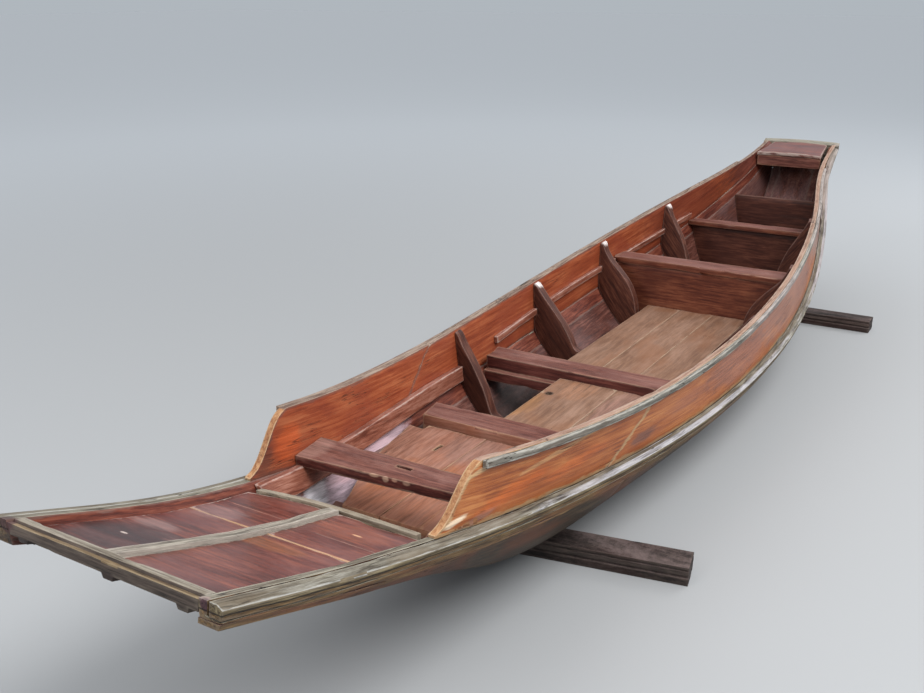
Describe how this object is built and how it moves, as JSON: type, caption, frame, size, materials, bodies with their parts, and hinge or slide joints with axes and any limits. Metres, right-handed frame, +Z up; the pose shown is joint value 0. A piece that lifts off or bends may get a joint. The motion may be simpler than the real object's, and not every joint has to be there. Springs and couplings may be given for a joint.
{
  "type": "wooden sampan on two timber bearers",
  "caption": "Flat-bottomed wooden sampan with decked ends, raised washboards, thwarts, frames and lift-out floor panels, resting on timber bearers.",
  "frame": {"origin": "on the ground at the middle of the boat's length and breadth, at the underside of the bearers", "axes": "+X towards the bow, +Y to port, +Z up"},
  "size_m": [4.569, 1.148, 0.721],
  "materials": {
    "dark_hull": "old dark coating, dull, streaked",
    "brown_hull": "worn brown stain, streaked",
    "grey_rail": "bare weathered wood, silver grey, cracked",
    "varnished_wood": "orange-brown varnish, worn, satin",
    "deck_wood": "dark red-brown varnish, glossy, scuffed",
    "dull_brown_wood": "faded purple-brown wood, matte, chipped edges",
    "floor_brown": "faded orange-brown boards, matte, dusty",
    "floor_pale": "bare tan boards, matte, dusty",
    "bearer_timber": "dark rough timber, matte"
  },
  "bodies": {
    "hull": {"bottom_plank_centre": "dark_hull", "bottom_plank_port": "dark_hull", "bottom_plank_starboard": "dark_hull", "lower_strake_aft_port": "dark_hull", "lower_strake_aft_starboard": "dark_hull", "lower_strake_fore_port": "dark_hull", "lower_strake_fore_starboard": "dark_hull", "upper_strake_port": "brown_hull", "upper_strake_starboard": "brown_hull", "gunwale_port": "grey_rail", "gunwale_starboard": "grey_rail", "cap_rail_port": "grey_rail", "cap_rail_starboard": "grey_rail", "stern_end_board": "grey_rail", "bow_end_board": "grey_rail", "stern_deck_batten": "grey_rail", "stern_coaming": "grey_rail", "washboard_aft_port": "varnished_wood", "washboard_aft_starboard": "varnished_wood", "washboard_fore_port": "varnished_wood", "washboard_fore_starboard": "varnished_wood", "riser_port": "varnished_wood", "riser_starboard": "varnished_wood", "inwale_port": "varnished_wood", "inwale_starboard": "varnished_wood", "bulkhead_mid": "varnished_wood", "bulkhead_fore": "varnished_wood", "bulkhead_bow": "varnished_wood", "stern_deck_board_aft_port": "deck_wood", "stern_deck_board_aft_starboard": "deck_wood", "stern_deck_board_fore_port": "deck_wood", "stern_deck_board_fore_starboard": "deck_wood", "bow_deck": "deck_wood", "bow_deck_beam": "dull_brown_wood", "thwart_aft": "dull_brown_wood", "thwart_mid": "dull_brown_wood", "thwart_fore": "dull_brown_wood", "floor_beam_aft": "dull_brown_wood", "floor_beam_mid": "dull_brown_wood", "floor_bearer_stern": "dull_brown_wood", "frame_1": "dull_brown_wood", "frame_2": "dull_brown_wood", "frame_3": "dull_brown_wood", "frame_4": "dull_brown_wood", "bearer_aft": "bearer_timber", "bearer_fore": "bearer_timber"},
    "floor_panel_aft": {"floor_aft_cleat_1": "dull_brown_wood", "floor_aft_cleat_2": "dull_brown_wood", "floor_aft_board_1": "floor_brown", "floor_aft_board_2": "floor_brown", "floor_aft_board_3": "floor_brown"},
    "floor_panel_mid": {"floor_mid_cleat_1": "dull_brown_wood", "floor_mid_cleat_2": "dull_brown_wood", "floor_mid_board_1": "floor_pale", "floor_mid_board_2": "floor_pale"},
    "floor_panel_fore": {"floor_fore_cleat_1": "dull_brown_wood", "floor_fore_cleat_2": "dull_brown_wood", "floor_fore_board_1": "floor_pale", "floor_fore_board_2": "floor_pale", "floor_fore_board_3": "floor_pale"}
  },
  "joints": [
    {"name": "floor_panel_aft_lift", "type": "slide", "parent": "hull", "child": "floor_panel_aft", "axis": [0, 0, 1], "range_m": [0, 0.085]},
    {"name": "floor_panel_mid_lift", "type": "slide", "parent": "hull", "child": "floor_panel_mid", "axis": [0, 0, 1], "range_m": [0, 0.3]},
    {"name": "floor_panel_fore_lift", "type": "slide", "parent": "hull", "child": "floor_panel_fore", "axis": [0, 0, 1], "range_m": [0, 0.4]}
  ]
}
